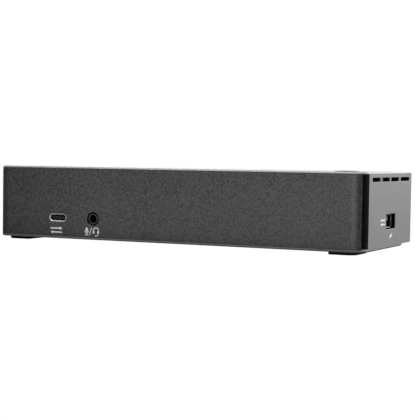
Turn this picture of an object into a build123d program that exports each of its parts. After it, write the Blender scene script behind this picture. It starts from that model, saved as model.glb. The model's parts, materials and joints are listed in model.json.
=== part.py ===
from build123d import *
import math
import os

# Laptop docking station: a low flat box that stands on four rubber feet.
# Frame: origin at the bottom centre of the whole object, +Z up, the front face looks along -Y, millimetres.
# The case is drawn with the underside of its platform at Z_PLATFORM, and everything is lifted by LIFT when
# it is written, so that the feet stand on Z = 0.

# ---------------------------------------------------------------- driving dimensions
LENGTH = 186.0          # X, end to end
DEPTH = 71.0            # Y, front face to rear face
CORNER_R = 6.2          # plan radius of the two front corners
REAR_R = 0.8            # plan radius of the two rear corners
FOOT_H = 1.3            # how far a foot stands out below the platform
Z_PLATFORM = 1.0        # underside of the platform, before the lift
LIFT = FOOT_H - Z_PLATFORM
Z_REAR_UNDER = 2.0      # underside behind the platform's step
Y_STEP = 20.8           # where the platform ends towards the rear
Z_SEAM = 2.7            # seam under the rear panel
Z_TRIM_SEAM = 2.42      # seam under the black corner trims
Z_FRONT_SEAM = 2.1      # seam between the tray's front strip and the front panel
POST_ANGLE = 47.6       # the front panel wraps each corner this far, then the black corner trim begins
Y_POST = -DEPTH / 2 + CORNER_R * (1 - math.cos(math.radians(POST_ANGLE)))
Y_TANGENT = -DEPTH / 2 + CORNER_R       # where the end walls begin
GAP = 0.05              # half the visible joint between two outer pieces
EDGE = 0.12             # edge break on the outer edges
Z_FLOOR = 3.4           # floor inside the tray
Z_PLATE = 33.7          # underside of the cover's top plate
Z_PANEL_TOP = 34.3      # top of the front and rear panels, under the plate's rim
Z_TOP = 35.05           # top plane of the cover
TOP_CHAMFER = 0.62      # bright chamfer round the top plate
WALL = 1.2              # cover walls, front and rear panel
RING = 1.2              # inner frame wall
FIT = 0.05              # assembly gap between parts of one body

# side vents: (y0, y1) of the four slots, the same on both ends
VENTS = [(-24.8, -13.6), (-11.1, 0.1), (2.2, 14.2), (17.1, 31.2)]
VENT_Z0, VENT_Z1 = 30.8, 32.6

# main board
PCB_TOP = 8.6
PCB_T = 1.6
PCB_X, PCB_Y0, PCB_Y1 = 89.8, -32.0, 31.0

# ports
USB_C_X, USB_C_Z = -58.6, 10.8         # front
JACK_X, JACK_Z = -39.2, 10.75          # front, 3.5 mm
JACK_BORE_R = 1.8
JACK_BORE_L = 13.0
USB_A_Y, USB_A_Z = 2.8, 12.95          # right end
USB_A_SETBACK = 1.7                    # shell mouth behind the end face
USB_A_CUT = (13.9, 6.8)
REAR_SET = 0.4                         # rear connector mouths behind the rear face
DC_X, DC_Z = 77.0, 14.4
HOST_X = 61.0
HDMI_X = (44.0, 3.0)
DP_X = (23.5, -17.5)
HDMI_Z = PCB_TOP + 3.3
LAN_X, LAN_Z = -39.5, PCB_TOP + 6.85
STACK_X, STACK_Z = -60.5, PCB_TOP + 7.95
LOCK_Y, LOCK_Z = 21.5, 12.0            # left end
LOCK_SLOT = (7.0, 3.0)

# power button, round, in the top plate near the front right corner
BTN_X, BTN_Y = 78.8, -17.5
BTN_D = 10.8
BTN_HOLE_D = 11.2
BTN_PROUD = 0.4
BTN_TRAVEL = 0.3

# feet
FOOT_W, FOOT_L, FOOT_R = 12.1, 16.6, 0.8     # oblong pads, long side front to back
FOOT_OUTER_R = 4.0      # their outer corner follows the corner of the case
FEET = {"foot_front_left": (-82.45, -25.1), "foot_front_right": (82.45, -25.1),
        "foot_rear_left": (-81.1, 8.6), "foot_rear_right": (81.1, 8.6)}
FOOT_RECESS = 0.8

# fasteners
COLUMNS = [(-68.0, -24.0), (68.0, -24.0), (-68.0, 14.0), (68.0, 14.0)]
BOARD_SCREWS = [(-84.0, -26.0), (85.0, -28.0), (-84.0, 15.5), (85.5, 15.0), (-10.0, -27.0), (-8.0, 15.0)]

os.makedirs("parts", exist_ok=True)
NODES = {}


# ---------------------------------------------------------------- helpers
def slab(x0, x1, y0, y1, z0, z1):
    return Pos((x0 + x1) / 2, (y0 + y1) / 2, (z0 + z1) / 2) * Box(x1 - x0, y1 - y0, z1 - z0)


def cyl_z(x, y, r, z0, z1):
    return Pos(x, y, (z0 + z1) / 2) * Cylinder(r, z1 - z0)


def cyl_y(x, z, r, y0, y1):
    return Pos(x, (y0 + y1) / 2, z) * Rot(90, 0, 0) * Cylinder(r, y1 - y0)


def plan(off, z0, z1):
    """Prism on the rounded plan outline, moved inwards by off."""
    s = Rectangle(LENGTH - 2 * off, DEPTH - 2 * off)
    rear = s.vertices().filter_by(lambda v: v.Y > 0)
    s = fillet(rear, max(REAR_R - off, 0.25))
    front = s.vertices().filter_by(lambda v: v.Y < 0)
    s = fillet(front, CORNER_R - off)
    return extrude(Plane.XY.offset(z0) * s, amount=z1 - z0)


def prism_y(sketch, x, z, y0, y1):
    """Prism of a sketch (x across, y up) from y0 to y1."""
    p = Plane(origin=(x, y0, z), x_dir=(1, 0, 0), z_dir=(0, -1, 0))
    return extrude(p * sketch, amount=-(y1 - y0))


def foot_prism(x, y, grow, z0, z1):
    """Oblong pad whose corner nearest to the corner of the case has the large radius."""
    s = Rectangle(FOOT_W + 2 * grow, FOOT_L + 2 * grow)
    sx, sy = (1 if x > 0 else -1), (1 if y > 0 else -1)
    outer = s.vertices().filter_by(lambda v: v.X * sx > 0 and v.Y * sy > 0)
    s = fillet(outer, FOOT_OUTER_R + grow)
    rest = s.vertices().filter_by(lambda v: abs(abs(v.X) - FOOT_W / 2 - grow) < 1e-6 and abs(abs(v.Y) - FOOT_L / 2 - grow) < 1e-6)
    s = fillet(rest, FOOT_R + grow)
    return extrude(Plane(origin=(x, y, z0)) * s, amount=z1 - z0)


def prism_x(sketch, y, z, x0, x1):
    p = Plane(origin=(x0, y, z), x_dir=(0, 1, 0), z_dir=(1, 0, 0))
    return extrude(p * sketch, amount=x1 - x0)


def flare_y(w, h, r, c):
    """Cutter that breaks the mouth edge of a rounded opening, mouth at y = 0 looking along -Y."""
    p = Plane(origin=(0, 0, 0), x_dir=(1, 0, 0), z_dir=(0, 1, 0))
    s = extrude(p * RectangleRounded(w + 2 * c, h + 2 * c, r + c), amount=c, taper=45)
    return s + prism_y(RectangleRounded(w + 2 * c, h + 2 * c, r + c), 0, 0, -0.5, 0.0)


def flare_x(w, h, r, c, y, z, side):
    """The same on an end face: side +1 is the right end, -1 the left."""
    f = Location((0, 0, 0), (0, 0, 90 * side)) * flare_y(w, h, r, c)
    return Pos(side * LENGTH / 2, y, z) * f


def group(items):
    return [s for it in items for s in it.solids()]


def node(name, shape):
    NODES[name] = shape


def place(shape, x, y, z, turn):
    return Location((x, y, z), (0, 0, turn)) * shape


# connector bodies: mouth at y = 0 looking along -Y, body towards +Y, centred in x and z
def usb_a(foot_drop=0.0):
    outer, inner = RectangleRounded(13.1, 5.72, 0.6), RectangleRounded(12.5, 5.12, 0.35)
    shell = prism_y(outer, 0, 0, 0, 14.0) - prism_y(inner, 0, 0, -1, 15)
    shell -= flare_y(12.5, 5.12, 0.35, 0.25)
    for sx in (-3.2, 3.2):          # retention spring windows, top and bottom
        for sz in (-1, 1):
            shell -= slab(sx - 1.1, sx + 1.1, 3.0, 7.5, sz * 2.86 - 0.4, sz * 2.86 + 0.4)
    tongue = slab(-5.55, 5.55, 1.5, 9.6, 0.1, 1.95)
    tongue += prism_y(RectangleRounded(12.4, 5.02, 0.33), 0, 0, 9.5, 14.2)
    tongue += slab(-6.5, 6.5, 14.05, 15.2, -2.86 - foot_drop, 2.86)
    if foot_drop > 0:
        tongue += slab(-6.5, 6.5, 3.5, 14.5, -2.86 - foot_drop, -2.86 - FIT)
    spring = make_face(Polyline((1.5, 0.1), (1.5, -0.12), (3.2, -0.78), (5.2, -0.14), (8.6, -0.14), (8.6, 0.1), close=True))
    strips = [prism_x(spring, 0, 0, x - 0.5, x + 0.5) for x in (-3.5, -1.0, 1.0, 3.5)]
    return shell, tongue, strips


def usb_c(drop):
    outer, inner = RectangleRounded(8.94, 3.26, 1.62), RectangleRounded(8.34, 2.66, 1.32)
    lip = RectangleRounded(9.8, 3.95, 1.97)
    shell = prism_y(outer, 0, 0, 0, 7.35) + prism_y(lip, 0, 0, 0, 0.45)
    shell -= prism_y(inner, 0, 0, -1, 8)
    shell -= flare_y(8.34, 2.66, 1.32, 0.34)
    shell -= slab(-2.0, 2.0, 2.6, 5.0, 1.2, 2.0)
    tongue = slab(-3.35, 3.35, 0.9, 5.6, -0.35, 0.35)
    tongue += prism_y(RectangleRounded(8.24, 2.56, 1.27), 0, 0, 5.5, 7.4)
    tongue += slab(-4.3, 4.3, 7.4, 8.3, -drop, 1.63)
    strips = []
    for i in range(12):
        x = (i - 5.5) * 0.5
        for z0, z1 in ((0.35, 0.41), (-0.41, -0.35)):
            strips.append(slab(x - 0.13, x + 0.13, 1.3, 4.9, z0, z1))
    return shell, tongue, strips


def hdmi_inner(grow=0.0):
    pts = [(7.0, 2.25), (7.0, -0.6), (5.2, -2.25), (-5.2, -2.25), (-7.0, -0.6), (-7.0, 2.25)]
    s = make_face(Polyline(*pts, close=True))
    return offset(s, grow, kind=Kind.INTERSECTION) if grow else s


def dp_inner(grow=0.0):
    pts = [(8.05, 2.38), (8.05, -2.38), (-6.4, -2.38), (-8.05, -0.75), (-8.05, 2.38)]
    s = make_face(Polyline(*pts, close=True))
    return offset(s, grow, kind=Kind.INTERSECTION) if grow else s


def video(inner, half_tongue, drop, length):
    shell = prism_y(inner(0.4), 0, 0, 0, length) - prism_y(inner(), 0, 0, -1, length + 1)
    body = slab(-half_tongue, half_tongue, 1.2, length - 3.4, -0.45, 0.75)
    body += prism_y(inner(-0.05), 0, 0, length - 3.5, length + 0.1)
    body += slab(-6.8, 6.8, length + 0.05, length + 1.4, -drop, 2.3)
    for sx in (-4.5, 4.5):
        shell -= slab(sx - 0.8, sx + 0.8, 2.5, 5.5, 2.0, 3.2)
    return shell, body


# ---------------------------------------------------------------- tray
def wall_zone(grow):
    """Footprint of the cover's end walls, rear corners and front toes."""
    z = plan(-0.01, 0, 10) - plan(WALL + grow, -1, 11)
    z &= slab(-100, 100, Y_POST - grow, 40, -1, 11)
    return z - slab(-LENGTH / 2 + CORNER_R + grow, LENGTH / 2 - CORNER_R - grow, 30, 40, -1, 12)


def build_base_tray():
    t = plan(0, Z_PLATFORM, Z_SEAM)
    t = chamfer(t.edges().group_by(Axis.Z)[0], 0.4)
    t -= slab(-100, 100, Y_STEP, 40, 0, Z_REAR_UNDER)
    t -= (plan(-0.01, 0, 10) - plan(WALL + FIT, -1, 11)) & slab(-100, 100, -40, -30, Z_FRONT_SEAM, 11)
    t -= wall_zone(FIT)
    t += plan(WALL + FIT, Z_REAR_UNDER + 0.2, Z_FLOOR)
    for x, y in COLUMNS:
        t += cyl_z(x, y, 4.2, Z_FLOOR - 0.1, 6.0)
        t -= cyl_z(x, y, 3.0, 0, 4.2)
        t -= cyl_z(x, y, 1.65, 0, 7)
    for x, y in BOARD_SCREWS:
        t += cyl_z(x, y, 2.6, Z_FLOOR - 0.1, PCB_TOP - PCB_T)
        t -= cyl_z(x, y, 1.02, 2.9, 8)
    for x, y in FEET.values():
        t -= foot_prism(x, y, 0.05, 0, Z_PLATFORM + FOOT_RECESS)
    # stiffening ribs across the floor
    for x in (-50.0, -30.0, 30.0, 52.0):
        t += slab(x - 0.6, x + 0.6, -22.0, 20.0, Z_FLOOR - 0.1, 5.4)
    return t


# ---------------------------------------------------------------- top cover: plate, two ends, rear corners
def build_top_cover():
    c = plan(0, Z_PLATFORM, Z_TOP)
    c = chamfer(c.edges().group_by(Axis.Z)[-1], TOP_CHAMFER)
    c = chamfer(c.edges().group_by(Axis.Z)[0], 0.5)
    c -= plan(WALL, 0, Z_PLATE)
    ring = plan(-0.01, 0, Z_PANEL_TOP) - plan(WALL, -1, 40)
    c -= ring & slab(-100, 100, -40, Y_TANGENT, Z_TRIM_SEAM, Z_PANEL_TOP)     # front panel and corner trims
    c -= ring & slab(-100, 100, -40, Y_POST, 0, Z_PANEL_TOP)                  # leaves a toe under each trim
    c -= slab(-LENGTH / 2 + CORNER_R, LENGTH / 2 - CORNER_R, DEPTH / 2 - WALL, 40, -1, Z_PANEL_TOP)
    c -= slab(-100, 100, Y_STEP, 40, 0, Z_REAR_UNDER)
    # the walls are thinned behind the vents
    for side in (-1, 1):
        xa, xb = sorted((side * (LENGTH / 2 - WALL - 0.2), side * (LENGTH / 2 - 0.5)))
        c -= slab(xa, xb, VENTS[0][0] - 1.2, VENTS[-1][1] + 0.5, VENT_Z0 - 0.8, VENT_Z1 + 0.8)
    for x, y in COLUMNS:                       # screw columns hang from the plate
        c += cyl_z(x, y, 3.0, 6.0, Z_PLATE + 0.1)
        c -= cyl_z(x, y, 1.27, 5.0, 20.0)
    for dy in (-9.5, 9.5):                     # bosses for the button board
        c += cyl_z(BTN_X, BTN_Y + dy, 2.3, 26.0, Z_PLATE + 0.1)
        c -= cyl_z(BTN_X, BTN_Y + dy, 0.87, 25.0, 31.5)
    for side in (-1, 1):                       # locating pins against the inner frame
        c += cyl_z(side * 89.4, 0.9, 0.6, 29.5, Z_PLATE + 0.1)
    c -= cyl_z(BTN_X, BTN_Y, BTN_HOLE_D / 2, 30, 40)
    c -= Pos(BTN_X, BTN_Y, Z_TOP - 0.06) * Cone(BTN_HOLE_D / 2, BTN_HOLE_D / 2 + 0.14, 0.14)
    for y0, y1 in VENTS:
        w, h = y1 - y0, VENT_Z1 - VENT_Z0
        yc, zc = (y0 + y1) / 2, (VENT_Z0 + VENT_Z1) / 2
        for side in (-1, 1):
            xa, xb = sorted((side * (LENGTH / 2 - 3), side * (LENGTH / 2 + 2)))
            c -= prism_x(RectangleRounded(w, h, 0.5), yc, zc, xa, xb)
            c -= flare_x(w, h, 0.5, EDGE, yc, zc, side)
    c -= prism_x(RectangleRounded(*USB_A_CUT, 0.5), USB_A_Y, USB_A_Z, LENGTH / 2 - 3, LENGTH / 2 + 2)
    c -= flare_x(*USB_A_CUT, 0.5, EDGE, USB_A_Y, USB_A_Z, 1)
    c -= prism_x(RectangleRounded(*LOCK_SLOT, 0.7), LOCK_Y, LOCK_Z, -LENGTH / 2 - 2, -LENGTH / 2 + 3)
    c -= flare_x(*LOCK_SLOT, 0.7, 0.25, LOCK_Y, LOCK_Z, -1)
    return c


# ---------------------------------------------------------------- front panel, wraps both front corners
LUGS_X = (-72.0, -20.0, 20.0, 62.0)


def build_front_panel():
    p = plan(0, Z_FRONT_SEAM + GAP, Z_PANEL_TOP - 2 * GAP)
    p = chamfer(p.edges().group_by(Axis.Z)[-1] + p.edges().group_by(Axis.Z)[0], EDGE)
    p -= plan(WALL, 0, 40)
    p &= slab(-100, 100, -40, Y_POST - GAP, 0, 40)
    p -= prism_y(RectangleRounded(10.4, 4.55, 2.27), USB_C_X, USB_C_Z, -40, -30)
    p -= Pos(USB_C_X, -DEPTH / 2, USB_C_Z) * flare_y(10.4, 4.55, 2.27, 0.15)
    p -= cyl_y(JACK_X, JACK_Z, 3.15, -40, -30)
    p -= Pos(JACK_X, -DEPTH / 2, JACK_Z) * flare_y(6.3, 6.3, 3.149, 0.2)
    for x in LUGS_X:                           # snap lugs into the inner frame
        p += slab(x - 3.0, x + 3.0, -DEPTH / 2 + WALL - 0.1, -DEPTH / 2 + WALL + RING - 0.05, 27.0, 29.0)
    return p


def rear_cutouts():
    y0, y1 = 30.0, 40.0
    cuts = [cyl_y(DC_X, DC_Z, 4.3, y0, y1),
            prism_y(RectangleRounded(10.4, 4.55, 2.27), HOST_X, USB_C_Z, y0, y1)]
    for x in HDMI_X:
        cuts.append(place(prism_y(hdmi_inner(0.65), 0, 0, -5, 5), x, 35, HDMI_Z, 180))
    for x in DP_X:
        cuts.append(place(prism_y(dp_inner(0.65), 0, 0, -5, 5), x, 35, HDMI_Z, 180))
    cuts.append(prism_y(RectangleRounded(16.7, 14.1, 0.5), LAN_X, LAN_Z, y0, y1))
    cuts.append(prism_y(RectangleRounded(14.7, 16.3, 0.6), STACK_X, STACK_Z, y0, y1))
    return cuts


def build_rear_panel():
    hx = LENGTH / 2 - CORNER_R - GAP
    p = slab(-hx, hx, DEPTH / 2 - WALL, DEPTH / 2, Z_SEAM + GAP, Z_PANEL_TOP - GAP)
    p = chamfer(p.faces().sort_by(Axis.Y)[-1].edges(), EDGE)
    for c in rear_cutouts():
        p -= c
    for x in (-30.0, 0.0, 35.0, 70.0):
        p += slab(x - 3.0, x + 3.0, DEPTH / 2 - WALL - RING + 0.05, DEPTH / 2 - WALL + 0.1, 30.0, 32.0)
    return p


# ---------------------------------------------------------------- inner frame: dark ring behind the walls
def build_inner_frame():
    f = plan(WALL + 0.03, Z_FLOOR, Z_PLATE) - plan(WALL + RING, 0, 40)
    f -= slab(-84.0, 84.0, 30.0, 36.0, 6.0, 28.0)                       # rear connector window
    for y0, y1 in VENTS:
        s = RectangleRounded(y1 - y0 + 0.8, VENT_Z1 - VENT_Z0 + 0.8, 0.6)
        yc, zc = (y0 + y1) / 2, (VENT_Z0 + VENT_Z1) / 2
        f -= prism_x(s, yc, zc, 88, 94)
        f -= prism_x(s, yc, zc, -94, -88)
    # collar that lines the side port
    f += prism_x(RectangleRounded(USB_A_CUT[0] - 0.1, USB_A_CUT[1] - 0.1, 0.45), USB_A_Y, USB_A_Z, LENGTH / 2 - WALL - RING, LENGTH / 2 - 0.2)
    f -= prism_x(RectangleRounded(13.3, 6.2, 0.4), USB_A_Y, USB_A_Z, 88, 94)
    f -= prism_y(RectangleRounded(10.0, 4.2, 2.05), USB_C_X, USB_C_Z, -36, -30)
    f -= cyl_y(JACK_X, JACK_Z, 3.2, -36, -30)
    for x in LUGS_X:
        f -= slab(x - 3.1, x + 3.1, -36, -30, 26.9, 29.1)
    for x in (-30.0, 0.0, 35.0, 70.0):
        f -= slab(x - 3.1, x + 3.1, 30, 36, 29.9, 32.1)
    # window for the lock plate
    f -= slab(-94, -88, LOCK_Y - 6.1, LOCK_Y + 6.1, LOCK_Z - 4.6, LOCK_Z + 4.6)
    return f


# ---------------------------------------------------------------- black corner trims
def build_corner_trim(side):
    """Strip flush with the outside, between the front panel and one end wall."""
    p = plan(0, Z_TRIM_SEAM + GAP, Z_PANEL_TOP - 2 * GAP)
    p = chamfer(p.edges().group_by(Axis.Z)[-1] + p.edges().group_by(Axis.Z)[0], EDGE)
    p -= plan(WALL, 0, 40)
    x0, x1 = sorted((0.0, side * 100.0))
    return p & slab(x0, x1, Y_POST + GAP, Y_TANGENT - GAP, 0, 40)


# ---------------------------------------------------------------- boards
def build_main_board():
    b = slab(-PCB_X, PCB_X, PCB_Y0, PCB_Y1, PCB_TOP - PCB_T, PCB_TOP)
    b = fillet(b.edges().filter_by(Axis.Z), 3.0)
    for x, y in COLUMNS:
        b -= cyl_z(x, y, 3.3, 0, 20)
    for x, y in BOARD_SCREWS:
        b -= cyl_z(x, y, 1.15, 0, 20)
    b -= slab(JACK_X - 3.6, JACK_X + 3.6, -40, -19.8, 0, 20)            # sunk audio jack
    return b


def screw(x, y, z_head, r_head, h_head, r_shank, l_shank, up):
    """Pan head with a cross recess; up = +1 when the shank points up from the head."""
    if up > 0:
        s = cyl_z(x, y, r_head, z_head, z_head + h_head) + cyl_z(x, y, r_shank, z_head + h_head, z_head + h_head + l_shank)
        s -= slab(x - 0.28, x + 0.28, y - r_head * 0.55, y + r_head * 0.55, z_head - 1, z_head + h_head * 0.55)
        s -= slab(x - r_head * 0.55, x + r_head * 0.55, y - 0.28, y + 0.28, z_head - 1, z_head + h_head * 0.55)
    else:
        s = cyl_z(x, y, r_head, z_head - h_head, z_head) + cyl_z(x, y, r_shank, z_head - h_head - l_shank, z_head - h_head)
        s -= slab(x - 0.25, x + 0.25, y - r_head * 0.55, y + r_head * 0.55, z_head - h_head * 0.55, z_head + 1)
        s -= slab(x - r_head * 0.55, x + r_head * 0.55, y - 0.25, y + 0.25, z_head - h_head * 0.55, z_head + 1)
    return s


node("base_tray", build_base_tray())
node("top_cover", build_top_cover())
node("front_panel", build_front_panel())
node("rear_panel", build_rear_panel())
node("inner_frame", build_inner_frame())
node("corner_trim_left", build_corner_trim(-1))
node("corner_trim_right", build_corner_trim(1))
node("main_board", build_main_board())

# feet
for name, (x, y) in FEET.items():
    f = foot_prism(x, y, 0, Z_PLATFORM - FOOT_H, Z_PLATFORM + FOOT_RECESS)
    f = fillet(f.edges().group_by(Axis.Z)[0], 0.3)
    for dx in (-2.5, 2.5):                     # two shallow grip grooves
        f -= extrude(Plane(origin=(x + dx, y, -2)) * RectangleRounded(0.5, FOOT_L - 4.0, 0.24), amount=2 + Z_PLATFORM - FOOT_H + 0.25)
    node(name, f)

# screws
node("case_screws", group([screw(x, y, 2.3, 2.75, 1.9, 1.25, 12.0, +1) for x, y in COLUMNS]))
node("board_screws", group([screw(x, y, PCB_TOP + 1.5, 2.2, 1.5, 1.0, 5.4, -1) for x, y in BOARD_SCREWS]))

# ---------------------------------------------------------------- power button group
cap = cyl_z(BTN_X, BTN_Y, BTN_D / 2, Z_PLATE - 0.1, Z_TOP + BTN_PROUD)
cap = chamfer(cap.edges().group_by(Axis.Z)[-1], 0.18)
dish_r = 90.0                                                            # shallow finger dish
cap -= Pos(BTN_X, BTN_Y, Z_TOP + BTN_PROUD - 0.14 + dish_r) * Sphere(dish_r)
cap += cyl_z(BTN_X, BTN_Y, 6.4, Z_PLATE - 1.0, Z_PLATE - 0.06)          # retaining flange under the plate
cap += cyl_z(BTN_X, BTN_Y, 2.0, 30.6, Z_PLATE - 0.9)                     # stem
node("power_button", cap)

node("button_board", (slab(BTN_X - 6, BTN_X + 6, BTN_Y - 12.0, BTN_Y + 12.0, 24.6, 26.0)
                      - cyl_z(BTN_X, BTN_Y - 9.5, 0.95, 20, 30) - cyl_z(BTN_X, BTN_Y + 9.5, 0.95, 20, 30)))
node("button_board_screws", group([screw(BTN_X, BTN_Y + dy, 23.3, 1.8, 1.3, 0.85, 6.0, +1) for dy in (-9.5, 9.5)]))
sw = slab(BTN_X - 3.0, BTN_X + 3.0, BTN_Y - 3.0, BTN_Y + 3.0, 26.0, 29.6) - cyl_z(BTN_X, BTN_Y, 1.76, 28.0, 31)
node("tact_switch_body", sw)
node("tact_switch_plunger", cyl_z(BTN_X, BTN_Y, 1.70, 28.6, 30.6))

# ribbon from the button board to the main board
rib_y = -17.0
node("ribbon_connectors", group([
    slab(BTN_X - 3.6, BTN_X + 3.6, rib_y - 4, rib_y, 22.8, 24.6) - slab(BTN_X - 2.7, BTN_X + 2.7, rib_y - 2.5, rib_y + 1, 23.5, 23.9),
    slab(BTN_X - 3.6, BTN_X + 3.6, rib_y - 4, rib_y, PCB_TOP, PCB_TOP + 1.8) - slab(BTN_X - 2.7, BTN_X + 2.7, rib_y - 2.5, rib_y + 1, 9.3, 9.7)]))
rr = (23.7 - 9.5) / 2
ribbon_c = Pos(BTN_X, rib_y + 0.5, (23.7 + 9.5) / 2) * Rot(0, 90, 0) * (Cylinder(rr + 0.1, 5.0) - Cylinder(rr - 0.1, 6.0))
ribbon_c &= slab(BTN_X - 3, BTN_X + 3, rib_y + 0.5, rib_y + 20, 5, 30)
ribbon_c += slab(BTN_X - 2.5, BTN_X + 2.5, rib_y - 2.4, rib_y + 0.55, 23.6, 23.8)
ribbon_c += slab(BTN_X - 2.5, BTN_X + 2.5, rib_y - 2.4, rib_y + 0.55, 9.4, 9.6)
node("ribbon_cable", ribbon_c)

# ---------------------------------------------------------------- front USB-C
shell, tongue, strips = usb_c(USB_C_Z - PCB_TOP)
fy = -DEPTH / 2 + 0.3
node("front_usb_c_shell", place(shell, USB_C_X, fy, USB_C_Z, 0))
node("front_usb_c_tongue", place(tongue, USB_C_X, fy, USB_C_Z, 0))
node("front_usb_c_contacts", group([place(s, USB_C_X, fy, USB_C_Z, 0) for s in strips]))

# ---------------------------------------------------------------- audio jack
jy = -DEPTH / 2 + 0.45
body = cyl_y(JACK_X, JACK_Z, 3.0, jy, jy + 3.6)
body += slab(JACK_X - 3.3, JACK_X + 3.3, jy + 3.3, jy + 14.6, JACK_Z - 2.5, JACK_Z + 2.5)
body -= cyl_y(JACK_X, JACK_Z, JACK_BORE_R, jy - 1, jy + JACK_BORE_L)
body -= cyl_y(JACK_X, JACK_Z, 2.35, jy - 1, jy + 0.8)
for sx, yy in ((-1, 5.2), (1, 8.6)):            # pockets for the contact springs
    body -= slab(JACK_X + sx * 2.35 - 0.65, JACK_X + sx * 2.35 + 0.65, jy + yy - 0.05, jy + yy + 3.05, JACK_Z - 0.6, JACK_Z + 0.6)
node("audio_jack_body", body)
ferrule = cyl_y(JACK_X, JACK_Z, 2.35, jy, jy + 0.8) - cyl_y(JACK_X, JACK_Z, JACK_BORE_R, jy - 1, jy + 1)
ferrule -= Pos(JACK_X, jy + 0.2, JACK_Z) * Rot(90, 0, 0) * Cone(JACK_BORE_R - 0.02, 2.14, 0.5)
node("audio_jack_ring", ferrule)
node("audio_jack_contacts", group([slab(JACK_X + sx * 2.35 - 0.2, JACK_X + sx * 2.35 + 0.2, jy + yy, jy + yy + 3.0, JACK_Z - 0.5, JACK_Z + 0.5)
                                   for sx, yy in ((-1, 5.2), (1, 8.6))]))

# ---------------------------------------------------------------- side USB-A
shell, tongue, strips = usb_a(USB_A_Z - 2.86 - PCB_TOP)
sx = LENGTH / 2 - USB_A_SETBACK
node("side_usb_a_shell", place(shell, sx, USB_A_Y, USB_A_Z, 90))
node("side_usb_a_tongue", place(tongue, sx, USB_A_Y, USB_A_Z, 90))
node("side_usb_a_contacts", group([place(s, sx, USB_A_Y, USB_A_Z, 90) for s in strips]))

# ---------------------------------------------------------------- rear connectors
ry = DEPTH / 2 - REAR_SET
shell, tongue, strips = usb_c(USB_C_Z - PCB_TOP)
node("host_usb_c_shell", place(shell, HOST_X, ry, USB_C_Z, 180))
node("host_usb_c_tongue", place(tongue, HOST_X, ry, USB_C_Z, 180))

shell, body = video(hdmi_inner, 5.6, HDMI_Z - PCB_TOP, 11.0)
for i, x in enumerate(HDMI_X, 1):
    node(f"hdmi_shell_{i}", place(shell, x, ry, HDMI_Z, 180))
    node(f"hdmi_tongue_{i}", place(body, x, ry, HDMI_Z, 180))
shell, body = video(dp_inner, 6.2, HDMI_Z - PCB_TOP, 12.0)
for i, x in enumerate(DP_X, 1):
    node(f"displayport_shell_{i}", place(shell, x, ry, HDMI_Z, 180))
    node(f"displayport_tongue_{i}", place(body, x, ry, HDMI_Z, 180))

# network socket
shell = prism_y(RectangleRounded(16.2, 13.6, 0.35), 0, 0, 0, 18.5) - prism_y(RectangleRounded(15.6, 13.0, 0.2), 0, 0, -1, 18.1)
node("network_shell", place(shell, LAN_X, ry, LAN_Z, 180))
body = prism_y(RectangleRounded(15.5, 12.9, 0.25), 0, 0, 0.3, 18.0) - slab(-5.95, 5.95, -1, 14.0, -3.1, 5.0)
body -= slab(-3.1, 3.1, -1, 9.0, -5.4, -3.0)
body -= slab(-1.6, 1.6, -1, 7.0, -6.0, -5.3)
node("network_housing", place(body, LAN_X, ry, LAN_Z, 180))
wires = [Pos((i - 3.5) * 1.02, 6.9, 3.55) * Rot(14, 0, 0) * Box(0.4, 9.2, 0.3)
         + slab((i - 3.5) * 1.02 - 0.2, (i - 3.5) * 1.02 + 0.2, 11.0, 14.0, 4.42, 4.72) for i in range(8)]
node("network_contacts", group([place(w, LAN_X, ry, LAN_Z, 180) for w in wires]))

# double USB-A
shell = prism_y(RectangleRounded(14.2, 15.8, 0.5), 0, 0, 0, 17.5) - prism_y(RectangleRounded(13.6, 15.2, 0.3), 0, 0, 0.4, 18)
body = prism_y(RectangleRounded(13.5, 15.1, 0.35), 0, 0, 0.45, 17.4)
for zc in (-3.8, 3.8):
    shell -= prism_y(RectangleRounded(12.5, 5.12, 0.3), 0, zc, -1, 1)
    body -= slab(-6.25, 6.25, 0, 9.5, zc - 2.56, zc + 2.56)
for zc in (-3.8, 3.8):
    body += slab(-5.55, 5.55, 1.4, 9.6, zc - 0.15, zc + 1.65)
node("rear_usb_a_shell", place(shell, STACK_X, ry, STACK_Z, 180))
node("rear_usb_a_tongues", place(body, STACK_X, ry, STACK_Z, 180))

# power inlet
body = cyl_y(0, 0, 4.1, 0, 3.0) + slab(-4.7, 4.7, 2.6, 14.0, -(DC_Z - PCB_TOP), 5.2)
body -= cyl_y(0, 0, 3.2, -1, 10.5)
node("power_inlet_body", place(body, DC_X, ry, DC_Z, 180))
pin = cyl_y(0, 0, 1.0, 1.6, 10.5)
pin = chamfer(pin.edges().group_by(Axis.Y)[0], 0.3)
node("power_inlet_pin", place(pin, DC_X, ry, DC_Z, 180))

# lock slot plate, steel, behind the left wall
plate = slab(-LENGTH / 2 + WALL, -LENGTH / 2 + WALL + 1.2, LOCK_Y - 6.0, LOCK_Y + 6.0, LOCK_Z - 4.5, LOCK_Z + 4.5)
plate -= prism_x(RectangleRounded(*LOCK_SLOT, 0.7), LOCK_Y, LOCK_Z, -95, -88)
node("lock_slot_plate", plate)

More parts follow.
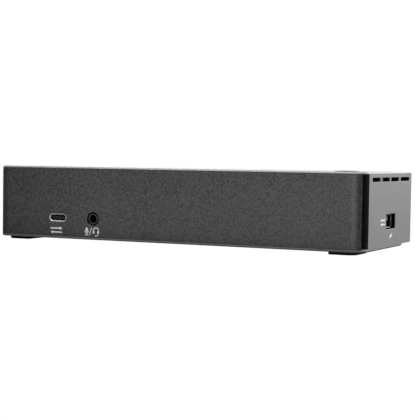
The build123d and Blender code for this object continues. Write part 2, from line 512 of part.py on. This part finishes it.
# ---------------------------------------------------------------- components on the main board
CHIP_X, CHIP_Y = 25.0, -7.0
node("video_chip", slab(CHIP_X - 9.5, CHIP_X + 9.5, CHIP_Y - 9.5, CHIP_Y + 9.5, PCB_TOP, PCB_TOP + 1.3))
node("thermal_pad", slab(CHIP_X - 9, CHIP_X + 9, CHIP_Y - 9, CHIP_Y + 9, PCB_TOP + 1.3, PCB_TOP + 2.1))
hs = slab(CHIP_X - 20, CHIP_X + 20, CHIP_Y - 15, CHIP_Y + 15, PCB_TOP + 2.1, PCB_TOP + 4.1)
for i in range(10):
    fx = CHIP_X - 19.4 + i * (38.8 / 9)
    hs += slab(fx - 0.6, fx + 0.6, CHIP_Y - 15, CHIP_Y + 15, PCB_TOP + 4.0, 24.0)
node("heat_sink", hs)
node("hub_chip", slab(-35, -25, -12, -2, PCB_TOP, PCB_TOP + 1.0))
node("power_chip", slab(54, 61, 2, 9, PCB_TOP, PCB_TOP + 0.9))
node("power_inductors", group([fillet(slab(x - 3.6, x + 3.6, y - 3.6, y + 3.6, PCB_TOP, PCB_TOP + 4.0).edges().filter_by(Axis.Z), 0.8)
                               for x, y in ((57.5, -22.0), (57.5, -13.0), (57.5, -4.0))]))
node("capacitors", group([cyl_z(x, y, 3.15, PCB_TOP, PCB_TOP + 7.7) for x, y in ((69.0, 24.5), (60.0, 19.5), (51.0, 17.5), (-52.0, 8.0), (-60.5, 4.0))]))
node("network_transformer", slab(-47.5, -31.5, 3.0, 10.0, PCB_TOP, PCB_TOP + 4.2))
node("crystals", group([slab(-20, -16.8, -8, -5.5, PCB_TOP, PCB_TOP + 0.8), slab(-12, -8.8, -8, -5.5, PCB_TOP, PCB_TOP + 0.8)]))

for name, shape in NODES.items():
    if isinstance(shape, list):
        shape = Compound(children=[Pos(0, 0, LIFT) * s for s in shape])
    else:
        shape = Pos(0, 0, LIFT) * shape
    export_step(shape, "parts/" + name + ".step")
print(len(NODES), "nodes")
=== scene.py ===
import bpy
import bmesh
import json
import math
from mathutils import Matrix, Vector


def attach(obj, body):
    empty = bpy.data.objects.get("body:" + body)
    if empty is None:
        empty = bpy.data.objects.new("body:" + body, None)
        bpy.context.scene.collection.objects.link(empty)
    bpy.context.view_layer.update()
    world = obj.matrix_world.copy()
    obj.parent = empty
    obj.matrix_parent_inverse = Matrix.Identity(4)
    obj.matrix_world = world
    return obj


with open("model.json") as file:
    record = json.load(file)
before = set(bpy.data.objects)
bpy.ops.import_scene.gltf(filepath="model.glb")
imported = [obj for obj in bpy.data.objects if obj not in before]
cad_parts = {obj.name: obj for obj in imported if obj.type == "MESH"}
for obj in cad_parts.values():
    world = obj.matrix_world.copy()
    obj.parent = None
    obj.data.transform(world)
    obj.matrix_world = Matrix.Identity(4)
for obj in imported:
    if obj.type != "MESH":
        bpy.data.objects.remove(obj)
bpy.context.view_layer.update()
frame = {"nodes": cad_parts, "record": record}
NODES = frame["nodes"]
MM = 0.001

# ------------------------------------------------------------------ plan of the object, as in the CAD source (mm)
HX, HY, R = 93.0, 35.5, 6.2
Z_TOP = 35.35

# ------------------------------------------------------------------ colour management
sc = bpy.context.scene
sc.view_settings.view_transform = "Standard"
sc.view_settings.look = "None"
sc.view_settings.exposure = 0.0
sc.view_settings.gamma = 1.0


def lin(v):
    c = v / 255.0
    return c / 12.92 if c <= 0.04045 else ((c + 0.055) / 1.055) ** 2.4


def grey(v, warm=0.0):
    g = lin(v)
    return (g * (1 + warm), g, g * (1 - warm), 1.0)


# ------------------------------------------------------------------ camera
cam_data = bpy.data.cameras.new("camera")
cam = bpy.data.objects.new("camera", cam_data)
sc.collection.objects.link(cam)
cam_data.sensor_width = 36.0
cam_data.sensor_fit = "AUTO"
cam_data.lens = 99.52
cam_data.clip_start, cam_data.clip_end = 0.01, 50
ax = Vector((0.9018808111626725, 0.4317165617964222, 0.015225397440979949))
ay = Vector((-0.032375131363582506, 0.03240342010682972, 0.9989503837701706))
az = Vector((0.430770070136901, -0.901427106668119, 0.04320090321038579))
cam.matrix_world = Matrix(((ax.x, ay.x, az.x, (336.758 - 93.0) * MM),
                           (ax.y, ay.y, az.y, (-465.032 - 35.5) * MM),
                           (ax.z, ay.z, az.z, (38.053 + 1.5) * MM),
                           (0, 0, 0, 1)))
sc.camera = cam


# ------------------------------------------------------------------ node helpers
class Nodes:
    def __init__(self, name):
        self.mat = bpy.data.materials.new(name)
        self.mat.use_nodes = True
        self.t = self.mat.node_tree
        self.t.nodes.clear()
        self.out = self.t.nodes.new("ShaderNodeOutputMaterial")
        self.b = self.t.nodes.new("ShaderNodeBsdfPrincipled")
        self.t.links.new(self.b.outputs["BSDF"], self.out.inputs["Surface"])
        self.tc = self.t.nodes.new("ShaderNodeTexCoord")

    def new(self, kind, **props):
        n = self.t.nodes.new(kind)
        for k, v in props.items():
            setattr(n, k, v)
        return n

    def link(self, a, b):
        self.t.links.new(a, b)

    def noise(self, scale, detail=3.0, rough=0.55, stretch=None, distortion=0.0):
        n = self.new("ShaderNodeTexNoise")
        n.inputs["Scale"].default_value = scale
        n.inputs["Detail"].default_value = detail
        n.inputs["Roughness"].default_value = rough
        n.inputs["Distortion"].default_value = distortion
        src = self.tc.outputs["Object"]
        if stretch:
            m = self.new("ShaderNodeMapping")
            m.inputs["Scale"].default_value = stretch
            self.link(src, m.inputs["Vector"])
            src = m.outputs["Vector"]
        self.link(src, n.inputs["Vector"])
        return n.outputs["Fac"]

    def voronoi(self, scale, feature="F1"):
        n = self.new("ShaderNodeTexVoronoi", feature=feature)
        n.inputs["Scale"].default_value = scale
        self.link(self.tc.outputs["Object"], n.inputs["Vector"])
        return n.outputs["Distance"]

    def math(self, op, a, b=None, clamp=False):
        n = self.new("ShaderNodeMath", operation=op, use_clamp=clamp)
        for i, v in enumerate((a, b)):
            if v is None:
                continue
            if isinstance(v, (int, float)):
                n.inputs[i].default_value = v
            else:
                self.link(v, n.inputs[i])
        return n.outputs[0]

    def ramp(self, fac, stops):
        n = self.new("ShaderNodeValToRGB")
        e = n.color_ramp.elements
        while len(e) < len(stops):
            e.new(0.5)
        for el, (p, c) in zip(e, stops):
            el.position = p
            el.color = c if len(c) == 4 else (*c, 1)
        self.link(fac, n.inputs["Fac"])
        return n.outputs["Color"]

    def maprange(self, v, a, b, c, d):
        n = self.new("ShaderNodeMapRange")
        for k, x in zip(("From Min", "From Max", "To Min", "To Max"), (a, b, c, d)):
            n.inputs[k].default_value = x
        self.link(v, n.inputs["Value"])
        return n.outputs["Result"]

    def bump(self, height, strength, distance, normal=None):
        n = self.new("ShaderNodeBump")
        n.inputs["Strength"].default_value = strength
        n.inputs["Distance"].default_value = distance
        self.link(height, n.inputs["Height"])
        if normal is not None:
            self.link(normal, n.inputs["Normal"])
        return n.outputs["Normal"]

    def done(self, colour=None, rough=None, normal=None, metallic=0.0, spec=None, coat=None):
        if colour is not None:
            self.link(colour, self.b.inputs["Base Color"])
        if isinstance(rough, (int, float)):
            self.b.inputs["Roughness"].default_value = rough
        elif rough is not None:
            self.link(rough, self.b.inputs["Roughness"])
        if normal is not None:
            self.link(normal, self.b.inputs["Normal"])
        self.b.inputs["Metallic"].default_value = metallic
        if spec is not None:
            self.b.inputs["Specular IOR Level"].default_value = spec
        if coat:
            self.b.inputs["Coat Weight"].default_value = coat[0]
            self.b.inputs["Coat Roughness"].default_value = coat[1]
        return self.mat


def grained(name, dark, light, rough, grain_scale, bump, spec=0.5, metallic=0.0, big=0.06, contrast=(0.30, 0.85),
            speck=0.0, depth=0.00012, coat=None, wear=None):
    """Moulded or painted surface: fine grain in colour, roughness and bump, over a slow cloudy variation.
    wear = (colour, amount) lightens worn convex places a little."""
    n = Nodes(name)
    g1 = n.noise(grain_scale, 4.0, 0.62)
    g2 = n.voronoi(grain_scale * 0.8)
    fine = n.math("ADD", n.math("MULTIPLY", g1, 0.7), n.math("MULTIPLY", g2, 0.45))
    cloud = n.noise(22.0, 2.0, 0.5)
    mixv = n.math("ADD", fine, n.math("MULTIPLY", n.math("SUBTRACT", cloud, 0.5), big * 4))
    if speck:
        pits = n.noise(grain_scale * 0.80, 1.0, 0.4)
        mixv = n.math("ADD", mixv, n.math("MULTIPLY", n.math("SUBTRACT", pits, 0.5), speck))
    col = n.ramp(mixv, [(contrast[0], dark), (contrast[1], light)])
    if wear:
        geo = n.new("ShaderNodeNewGeometry")
        edge = n.maprange(geo.outputs["Pointiness"], 0.52, 0.62, 0.0, wear[1])
        mix = n.new("ShaderNodeMix", data_type="RGBA")
        n.link(edge, mix.inputs[0])
        n.link(col, mix.inputs[6])
        mix.inputs[7].default_value = wear[0]
        col = mix.outputs[2]
    r = n.maprange(g1, 0.25, 0.75, rough - 0.07, rough + 0.07)
    nor = n.bump(fine, bump, depth)
    return n.done(col, r, nor, metallic, spec, coat)


def brushed(name, dark, light, rough, scale, stretch, bump=0.15):
    """Plated or drawn metal: fine lines along one axis, faint stains, slightly uneven polish."""
    n = Nodes(name)
    lines = n.noise(scale, 3.0, 0.6, stretch=stretch)
    stain = n.noise(130.0, 3.0, 0.55)
    v = n.math("ADD", n.math("MULTIPLY", lines, 0.6), n.math("MULTIPLY", stain, 0.4))
    col = n.ramp(v, [(0.3, dark), (0.7, light)])
    r = n.maprange(v, 0.3, 0.7, rough + 0.08, rough - 0.06)
    nor = n.bump(lines, bump, 0.00002)
    return n.done(col, r, nor, 1.0, 0.5)


M = {}
M["charcoal"] = grained("panel_charcoal", grey(9), grey(76), 0.36, 1950.0, 0.36, spec=0.85, big=0.07,
                        contrast=(0.28, 0.82), speck=1.4, depth=0.00014)
M["cover"] = grained("cover_grey", grey(126), grey(142), 0.40, 3000.0, 0.16, spec=0.5, big=0.03, speck=0.12)
M["tray"] = grained("tray_grey", grey(112), grey(130), 0.48, 2200.0, 0.25, spec=0.45, big=0.04, speck=0.2)
M["trim"] = grained("trim_black", grey(5), grey(13), 0.58, 1900.0, 0.35, spec=0.02, speck=0.3)
M["black"] = grained("frame_black", grey(10), grey(20), 0.62, 2500.0, 0.4, spec=0.25)
M["insert"] = grained("insert_black", grey(12), grey(24), 0.45, 2600.0, 0.25, spec=0.4)
M["rubber"] = grained("rubber_black", grey(16), grey(30), 0.82, 1300.0, 0.55, spec=0.25, speck=0.4)
M["steel"] = brushed("shell_steel", grey(190), grey(222), 0.38, 900.0, (1.0, 0.15, 1.0))
M["zinc"] = brushed("screw_zinc", grey(140), grey(180), 0.34, 1500.0, (1.0, 1.0, 0.4))
M["alu"] = brushed("sink_aluminium", grey(176), grey(208), 0.36, 700.0, (1.0, 0.08, 1.0))
M["gold"] = brushed("contact_gold", (0.62, 0.40, 0.12, 1), (0.80, 0.56, 0.22, 1), 0.26, 900.0, (1.0, 0.2, 1.0))
M["ring"] = brushed("ring_nickel", grey(84), grey(118), 0.30, 900.0, (1.0, 0.3, 1.0))
M["green"] = grained("board_green", (0.008, 0.040, 0.020, 1), (0.020, 0.085, 0.040, 1), 0.34, 700.0, 0.2, speck=0.3)
M["chip"] = grained("chip_epoxy", grey(22), grey(36), 0.55, 2400.0, 0.35, spec=0.4)
M["white"] = grained("insert_white", grey(196), grey(216), 0.45, 1500.0, 0.1)
M["pad"] = grained("pad_silicone", (0.18, 0.22, 0.26, 1), (0.26, 0.31, 0.36, 1), 0.7, 1500.0, 0.3)
M["film"] = grained("cable_film", grey(185), grey(208), 0.3, 900.0, 0.1)
M["ink"] = grained("print_ink", grey(238), grey(253), 0.55, 2600.0, 0.2, spec=0.3)
M["button"] = grained("button_grey", grey(90), grey(108), 0.42, 2800.0, 0.18, spec=0.45, big=0.03, speck=0.12)
# darker grey for the cover's down-facing lower edge: painted shade under the edge
M["under"] = grained("cover_underside", grey(72), grey(90), 0.55, 2200.0, 0.25, spec=0.3, big=0.03, speck=0.15)
M["tongue"] = grained("tongue_white", grey(150), grey(178), 0.5, 1500.0, 0.15, spec=0.3)


def shell_with_painted_depth_shade(name, axis, mouth, away, lip=0.00030):
    """Plated shell whose inside turns to painted shade, dark grey, deeper than the lip: mouth is the lip's coordinate
    (m).
    """
    n = Nodes(name)
    lines = n.noise(900.0, 3.0, 0.6, stretch=(1.0, 0.3, 1.0))
    sepx = n.new("ShaderNodeSeparateXYZ")
    n.link(n.tc.outputs["Object"], sepx.inputs[0])
    depth = n.math("MULTIPLY", n.math("SUBTRACT", sepx.outputs[axis], mouth), -away)
    k = n.maprange(depth, lip, lip + 0.0003, 0.0, 1.0)
    fine = n.ramp(lines, [(0.3, grey(186)), (0.7, grey(216))])
    # painted shade: the shell's inside is drawn dark grey deeper than the lip, where the port recess is in shade
    painted_shade_colour = n.ramp(lines, [(0.3, grey(14)), (0.7, grey(30))])
    mix = n.new("ShaderNodeMix", data_type="RGBA")
    n.link(k, mix.inputs[0])
    n.link(fine, mix.inputs[6])
    n.link(painted_shade_colour, mix.inputs[7])
    r = n.maprange(lines, 0.3, 0.7, 0.44, 0.32)
    return n.done(mix.outputs[2], r, n.bump(lines, 0.15, 0.00002), 1.0, 0.5)


# the side USB-A shell, with painted shade inside it past the lip
M["side_shell_painted_shade"] = shell_with_painted_depth_shade("shell_side_painted_shade", "X", 0.0913, 1.0)

by_slot = {"cover_grey": "cover", "tray_grey": "tray", "panel_charcoal": "charcoal", "frame_black": "black", "rubber_black": "rubber",
           "screw_steel": "zinc", "board_green": "green", "shell_steel": "steel", "insert_black": "insert", "insert_white": "insert",
           "contact_brass": "gold", "ring_steel": "ring", "chip_black": "chip", "plunger_plastic": "chip", "cable_film": "film",
           "pad_rubber": "pad", "sink_aluminium": "alu"}
for sp in frame["record"]["subparts"]:
    o = NODES[sp["node"]]
    o.data.materials.clear()
    o.data.materials.append(M[by_slot[sp["material_slot"]]])


def paint(name, mat, test):
    """A second material on the faces of a CAD node that test(centre in mm, normal) picks."""
    me = NODES[name].data
    me.materials.append(M[mat])
    k = len(me.materials) - 1
    for p in me.polygons:
        if test(p.center * 1000.0, p.normal):
            p.material_index = k


# the cover's faces in and just behind the vent slots are black
paint("top_cover", "black", lambda c, n: abs(c.x) < 92.86 and abs(c.x) > 90.2 and 29.0 < c.z < 34.0 and c.y < 33.0)
# painted shade: the cover's down-facing faces along its lower edge get a darker grey, the shade under that edge
paint("top_cover", "under", lambda c, n: n.z < -0.5 and c.z < 2.0 and abs(c.x) > 86.0)
# the audio socket's funnel is black inside its thin metal rim
paint("audio_jack_ring", "insert", lambda c, n: n.y > -0.9 and (c.x + 39.2) ** 2 + (c.z - 11.05) ** 2 < 2.3 ** 2)
for k, m in (("corner_trim_left", "trim"), ("corner_trim_right", "trim"), ("power_button", "button"), ("side_usb_a_shell", "side_shell_painted_shade"),
             ("side_usb_a_tongue", "tongue"), ("inner_frame", "trim"), ("audio_jack_body", "trim")):
    NODES[k].data.materials[0] = M[m]

# ------------------------------------------------------------------ smooth shading by angle on the CAD nodes
ng = bpy.data.node_groups.new("smooth_by_angle", "GeometryNodeTree")
ng.interface.new_socket("Geometry", in_out="INPUT", socket_type="NodeSocketGeometry")
ng.interface.new_socket("Geometry", in_out="OUTPUT", socket_type="NodeSocketGeometry")
gi = ng.nodes.new("NodeGroupInput")
go = ng.nodes.new("NodeGroupOutput")
mg = ng.nodes.new("GeometryNodeMergeByDistance")
mg.inputs["Distance"].default_value = 2e-6
s1 = ng.nodes.new("GeometryNodeSetShadeSmooth")
s1.domain = "FACE"
s2 = ng.nodes.new("GeometryNodeSetShadeSmooth")
s2.domain = "EDGE"
s2.inputs["Shade Smooth"].default_value = False
ea = ng.nodes.new("GeometryNodeInputMeshEdgeAngle")
cp = ng.nodes.new("ShaderNodeMath")
cp.operation = "GREATER_THAN"
cp.inputs[1].default_value = math.radians(24)
ng.links.new(ea.outputs["Unsigned Angle"], cp.inputs[0])
ng.links.new(gi.outputs[0], mg.inputs["Geometry"])
ng.links.new(mg.outputs["Geometry"], s1.inputs["Geometry"])
ng.links.new(s1.outputs["Geometry"], s2.inputs["Geometry"])
ng.links.new(cp.outputs[0], s2.inputs["Selection"])
ng.links.new(s2.outputs["Geometry"], go.inputs[0])
for o in NODES.values():
    md = o.modifiers.new("smooth", "NODES")
    md.node_group = ng


# ------------------------------------------------------------------ printed pictograms, generic, thin ink plates
def arc(cx, cy, r, a0, a1, n=16):
    return [(cx + r * math.cos(math.radians(a0 + (a1 - a0) * i / n)), cy + r * math.sin(math.radians(a0 + (a1 - a0) * i / n)))
            for i in range(n + 1)]


def band(cx, cy, r0, r1, a0, a1, n=20):
    return arc(cx, cy, r1, a0, a1, n) + arc(cx, cy, r0, a1, a0, n)


def rrect(cx, cy, w, h, r):
    p = []
    for sx, sy, a in ((1, 1, 0), (-1, 1, 90), (-1, -1, 180), (1, -1, 270)):
        p += arc(cx + sx * (w / 2 - r), cy + sy * (h / 2 - r), r, a, a + 90, 5)
    return p


def bar(x0, y0, x1, y1, w):
    dx, dy = x1 - x0, y1 - y0
    l = math.hypot(dx, dy)
    nx, ny = -dy / l * w / 2, dx / l * w / 2
    return [(x0 + nx, y0 + ny), (x1 + nx, y1 + ny), (x1 - nx, y1 - ny), (x0 - nx, y0 - ny)]


def arrow(x0, y, x1, w, head, hl):
    d = 1 if x1 > x0 else -1
    xb = x1 - d * hl
    return [(x0, y - w / 2), (xb, y - w / 2), (xb, y - head / 2), (x1, y), (xb, y + head / 2), (xb, y + w / 2), (x0, y + w / 2)]


def printed(name, polys, origin, u, v, out, body="case", proud=0.010, deep=0.03, mat="ink"):
    """Flat closed plates of the given outlines (mm) in the plane (u, v) at origin, facing out."""
    bm = bmesh.new()
    O, U, V, N = (Vector(k) for k in (origin, u, v, out))
    flip = U.cross(V).dot(N) < 0
    for poly in polys:
        area2 = sum(a[0] * b[1] - b[0] * a[1] for a, b in zip(poly, poly[1:] + poly[:1]))
        pts = poly if (area2 > 0) != flip else poly[::-1]
        top = [bm.verts.new((O + U * x + V * y + N * proud) * MM) for x, y in pts]
        low = [bm.verts.new((O + U * x + V * y - N * (deep - proud)) * MM) for x, y in pts]
        bm.faces.new(top)
        bm.faces.new(low[::-1])
        k = len(pts)
        for i in range(k):
            bm.faces.new((top[i], low[i], low[(i + 1) % k], top[(i + 1) % k]))
    bmesh.ops.triangulate(bm, faces=[f for f in bm.faces if len(f.verts) > 4], ngon_method="EAR_CLIP")
    me = bpy.data.meshes.new(name)
    bm.to_mesh(me)
    bm.free()
    me.materials.append(M[mat])
    o = bpy.data.objects.new(name, me)
    sc.collection.objects.link(o)
    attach(o, body)
    return o


# two opposed arrows: data
DATA = [arrow(-3.3, 0.92, 3.3, 0.66, 1.70, 1.5), arrow(3.3, -0.92, -3.3, 0.66, 1.70, 1.5)]
# a plain slanted bolt: this socket also charges
BOLT = [[(2.7, 1.35), (-2.2, 0.0), (0.9, 0.3)], [(-2.2, 0.0), (-0.9, -0.3), (2.2, 0.0), (0.9, 0.3)], [(-2.7, -1.35), (2.2, 0.0), (-0.9, -0.3)]]
MIC = [rrect(0, 0.72, 1.30, 2.2, 0.62), band(0, 0.35, 0.92, 1.26, 180, 360), bar(0, -0.93, 0, -1.42, 0.5), rrect(0, -1.66, 1.7, 0.42, 0.16)]
SLASH = [bar(-0.58, -1.85, 0.58, 1.85, 0.36)]
HEADSET = [band(0, 0.30, 1.18, 1.66, 4, 176), rrect(-1.22, -0.36, 0.98, 1.26, 0.3), rrect(1.22, -0.36, 0.98, 1.26, 0.3),
           band(0.20, -1.04, 0.86, 1.24, -88, -5), rrect(-0.12, -2.06, 0.7, 0.52, 0.2)]
FRONT = dict(u=(1, 0, 0), v=(0, 0, 1), out=(0, -1, 0))
SIDE = dict(u=(0, 1, 0), v=(0, 0, 1), out=(1, 0, 0))
REARF = dict(u=(-1, 0, 0), v=(0, 0, 1), out=(0, 1, 0))
LEFT = dict(u=(0, -1, 0), v=(0, 0, 1), out=(-1, 0, 0))
printed("print_front_data", DATA, (-59.1, -HY, 5.15), **FRONT)
printed("print_front_microphone", MIC, (-42.3, -HY, 5.2), **FRONT)
printed("print_front_slash", SLASH, (-40.2, -HY, 5.2), **FRONT)
printed("print_front_headset", HEADSET, (-37.3, -HY, 5.3), **FRONT)
printed("print_side_data", DATA, (HX, -9.1, 13.25), **SIDE)
printed("print_side_charge", BOLT, (HX, 3.0, 6.75), **SIDE)
# rear: a plain generic mark above each socket
SCREEN = [bar(-1.9, 1.3, 1.9, 1.3, 0.32), bar(-1.9, -0.9, 1.9, -0.9, 0.32), bar(-1.74, -0.72, -1.74, 1.12, 0.32), bar(1.74, -0.72, 1.74, 1.12, 0.32),
          rrect(0, -1.45, 1.9, 0.34, 0.12)]
LAPTOP = [bar(-1.7, 1.3, 1.7, 1.3, 0.30), bar(-1.55, -0.55, -1.55, 1.13, 0.30), bar(1.55, -0.55, 1.55, 1.13, 0.30), bar(-2.3, -0.75, 2.3, -0.75, 0.36)]
LAN = [rrect(0, 1.05, 1.2, 0.8, 0.15), rrect(-1.35, -1.1, 1.2, 0.8, 0.15), rrect(1.35, -1.1, 1.2, 0.8, 0.15), bar(0, 0.62, 0, 0.12, 0.26),
       bar(-1.48, 0.0, 1.48, 0.0, 0.22), bar(-1.35, -0.13, -1.35, -0.68, 0.26), bar(1.35, -0.13, 1.35, -0.68, 0.26)]
POWER = [rrect(-1.9, 0, 1.1, 0.30, 0.1), band(0, 0, 1.05, 1.35, -150, 150), rrect(0.0, 0, 0.7, 0.7, 0.34)]
for nm, shp, x, z in (("power_in", POWER, 77.0, 22.6), ("host", LAPTOP, 61.0, 15.6), ("screen_a", SCREEN, 44.0, 18.0), ("screen_b", SCREEN, 3.0, 18.0),
                      ("screen_c", SCREEN, 23.5, 18.0), ("screen_d", SCREEN, -17.5, 18.0), ("network", LAN, -39.5, 25.6), ("data_pair", DATA, -60.5, 27.6)):
    printed("print_rear_" + nm, shp, (x, HY, z), **REARF)

# ------------------------------------------------------------------ stage: floor, world, lights
bm = bmesh.new()
bmesh.ops.create_grid(bm, x_segments=8, y_segments=8, size=6.0)
me = bpy.data.meshes.new("floor")
bm.to_mesh(me)
bm.free()
floor = bpy.data.objects.new("floor", me)
sc.collection.objects.link(floor)
floor.location.z = -0.00005
fm = bpy.data.materials.new("floor_white")
fm.use_nodes = True
t = fm.node_tree
t.nodes.clear()
o_ = t.nodes.new("ShaderNodeOutputMaterial")
em = t.nodes.new("ShaderNodeEmission")
em.inputs["Color"].default_value = (1, 1, 1, 1)
lp = t.nodes.new("ShaderNodeLightPath")
mx = t.nodes.new("ShaderNodeMapRange")
mx.inputs["To Max"].default_value = 1.02
t.links.new(lp.outputs["Is Camera Ray"], mx.inputs["Value"])


def fnode(kind, **props):
    n = t.nodes.new(kind)
    for k, v in props.items():
        setattr(n, k, v)
    return n


def fmath(op, a, b, clamp=False):
    n = fnode("ShaderNodeMath", operation=op, use_clamp=clamp)
    for i, v in enumerate((a, b)):
        if isinstance(v, (int, float)):
            n.inputs[i].default_value = v
        else:
            t.links.new(v, n.inputs[i])
    return n.outputs[0]


# the floor in front of the object is lit brighter than the rest: a soft pool of light
tcf = fnode("ShaderNodeTexCoord")
sep = fnode("ShaderNodeSeparateXYZ")
t.links.new(tcf.outputs["Object"], sep.inputs[0])
fx, fy = sep.outputs["X"], sep.outputs["Y"]
ahead = fmath("SUBTRACT", fmath("MULTIPLY", fy, -1.0), 0.035)
left_m = fmath("DIVIDE", fmath("ADD", fmath("ADD", fx, 0.098), fmath("MULTIPLY", ahead, 0.82)), 0.05, True)
right_m = fmath("DIVIDE", fmath("SUBTRACT", fmath("ADD", fmath("MULTIPLY", ahead, 0.25), 0.16), fx), 0.10, True)
front_m = fmath("DIVIDE", ahead, 0.03, True)
pool = fmath("MULTIPLY", fmath("MULTIPLY", left_m, right_m), front_m)
t.links.new(fmath("ADD", fmath("MULTIPLY", pool, 0.84), 0.06), mx.inputs["To Min"])
t.links.new(mx.outputs["Result"], em.inputs["Strength"])
back = fnode("ShaderNodeNewGeometry")
clear = fnode("ShaderNodeBsdfTransparent")
mixs = fnode("ShaderNodeMixShader")
t.links.new(back.outputs["Backfacing"], mixs.inputs[0])
t.links.new(em.outputs["Emission"], mixs.inputs[1])
t.links.new(clear.outputs[0], mixs.inputs[2])
t.links.new(mixs.outputs[0], o_.inputs["Surface"])
me.materials.append(fm)

w = bpy.data.worlds.new("studio")
sc.world = w
w.use_nodes = True
t = w.node_tree
t.nodes.clear()
wo = t.nodes.new("ShaderNodeOutputWorld")
bg = t.nodes.new("ShaderNodeBackground")
bg.inputs["Color"].default_value = (1, 1, 1, 1)
lp = t.nodes.new("ShaderNodeLightPath")
mx = t.nodes.new("ShaderNodeMapRange")
mx.inputs["To Min"].default_value = 0.10
mx.inputs["To Max"].default_value = 1.02
t.links.new(lp.outputs["Is Camera Ray"], mx.inputs["Value"])
t.links.new(mx.outputs["Result"], bg.inputs["Strength"])
t.links.new(bg.outputs["Background"], wo.inputs["Surface"])


def area(name, loc, target, size, power):
    d = bpy.data.lights.new(name, "AREA")
    d.shape = "RECTANGLE"
    d.size, d.size_y = size
    d.energy = power
    o = bpy.data.objects.new(name, d)
    sc.collection.objects.link(o)
    o.location = loc
    o.rotation_mode = "QUATERNION"
    o.rotation_quaternion = (Vector(target) - Vector(loc)).to_track_quat("-Z", "Y")
    o.visible_camera = False
    return o


area("key_right", (0.74, 0.48, 0.30), (0, 0, 0.02), (0.7, 0.6), 6.75)
area("front_soft", (0.29, -1.05, 0.33), (0.09, 0, 0.02), (0.72, 0.8), 3.2)
area("top", (0.0, 0.05, 0.80), (0, 0, 0.02), (1.2, 0.8), 10.0)
area("rear_soft", (-0.73, 1.43, 0.30), (0, 0, 0.02), (1.4, 0.8), 5.0)
area("back_fill", (0.45, 1.20, 0.45), (0, 0, 0.02), (0.8, 0.6), 6.0)
area("left_fill", (-0.50, 0.55, 0.75), (0, 0, 0.02), (0.6, 0.5), 8.0)
